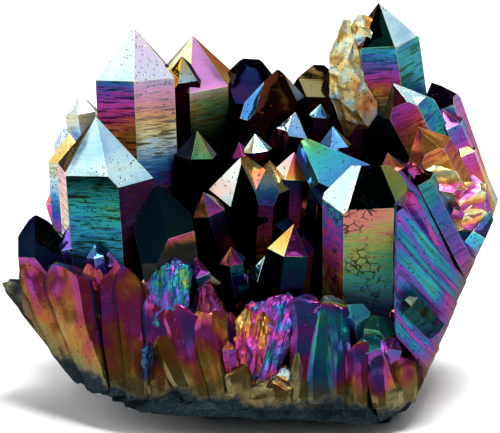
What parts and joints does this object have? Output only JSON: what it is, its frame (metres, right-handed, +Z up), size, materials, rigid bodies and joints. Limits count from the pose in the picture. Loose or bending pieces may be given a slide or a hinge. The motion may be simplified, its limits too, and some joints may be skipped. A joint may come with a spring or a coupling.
{
  "type": "quartz crystal cluster",
  "caption": "Freestanding cluster of pointed quartz crystals grown together on a shallow bowl of matrix, with a rainbow metallic coating and a flat cut base.",
  "frame": {"origin": "middle of the cluster's box, on the flat cut that it stands on", "axes": "+Z up, +X to the right and +Y to the back, seen from the side with the large front crystals"},
  "size_m": [0.081, 0.0536, 0.0624],
  "materials": {
    "coated_quartz": "rainbow titanium film on glossy crystal faces, duller and grainy near the base"
  },
  "bodies": {
    "root": {"quartz_cluster": "coated_quartz"}
  },
  "joints": []
}
